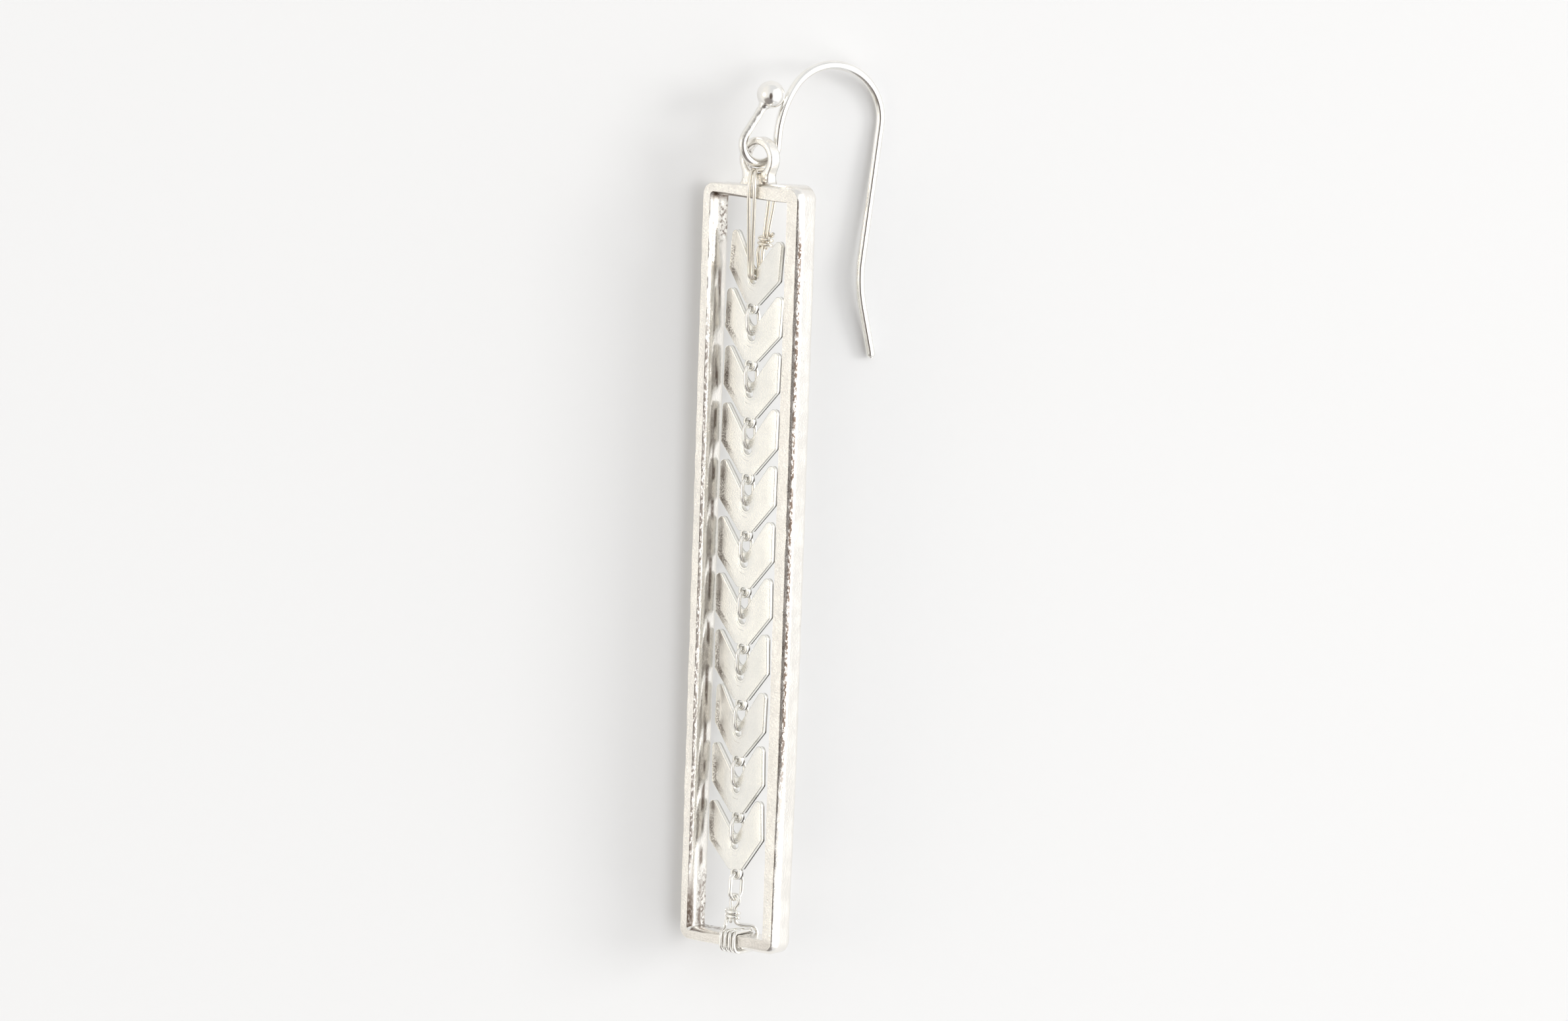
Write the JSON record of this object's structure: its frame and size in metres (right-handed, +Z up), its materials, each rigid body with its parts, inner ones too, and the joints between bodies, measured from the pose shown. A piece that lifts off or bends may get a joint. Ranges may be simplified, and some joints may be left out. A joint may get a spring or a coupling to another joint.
{
  "type": "bar earring",
  "caption": "Long open bar earring: a chain of chevron links strung inside a rectangular cast frame, on an open ear wire with a ball end.",
  "frame": {"origin": "on the surface that it lies on, under the middle of the whole earring's box", "axes": "+Y along the frame from its foot to its bail, +Z up from the surface, +X towards the ear wire's tail"},
  "size_m": [0.0152, 0.0758, 0.0085],
  "materials": {
    "cast_frame": "warm silver plate, finely brushed, with dark antiqued hollows",
    "chevron": "pale champagne silver plate, satin",
    "link_ring": "bright warm silver plate, polished",
    "soft_wire": "bright warm silver plate, polished",
    "ear_wire": "bright warm silver plate, polished"
  },
  "bodies": {
    "root": {"frame": "cast_frame", "ear_wire": "ear_wire", "hanger_wire": "soft_wire", "wrap_wire": "soft_wire", "chevron_01": "chevron", "chevron_02": "chevron", "chevron_03": "chevron", "chevron_04": "chevron", "chevron_05": "chevron", "chevron_06": "chevron", "chevron_07": "chevron", "chevron_08": "chevron", "chevron_09": "chevron", "chevron_10": "chevron", "chevron_11": "chevron", "link_ring_01": "link_ring", "link_ring_02": "link_ring", "link_ring_03": "link_ring", "link_ring_04": "link_ring", "link_ring_05": "link_ring", "link_ring_06": "link_ring", "link_ring_07": "link_ring", "link_ring_08": "link_ring", "link_ring_09": "link_ring", "link_ring_10": "link_ring", "link_ring_11": "link_ring"}
  },
  "joints": []
}
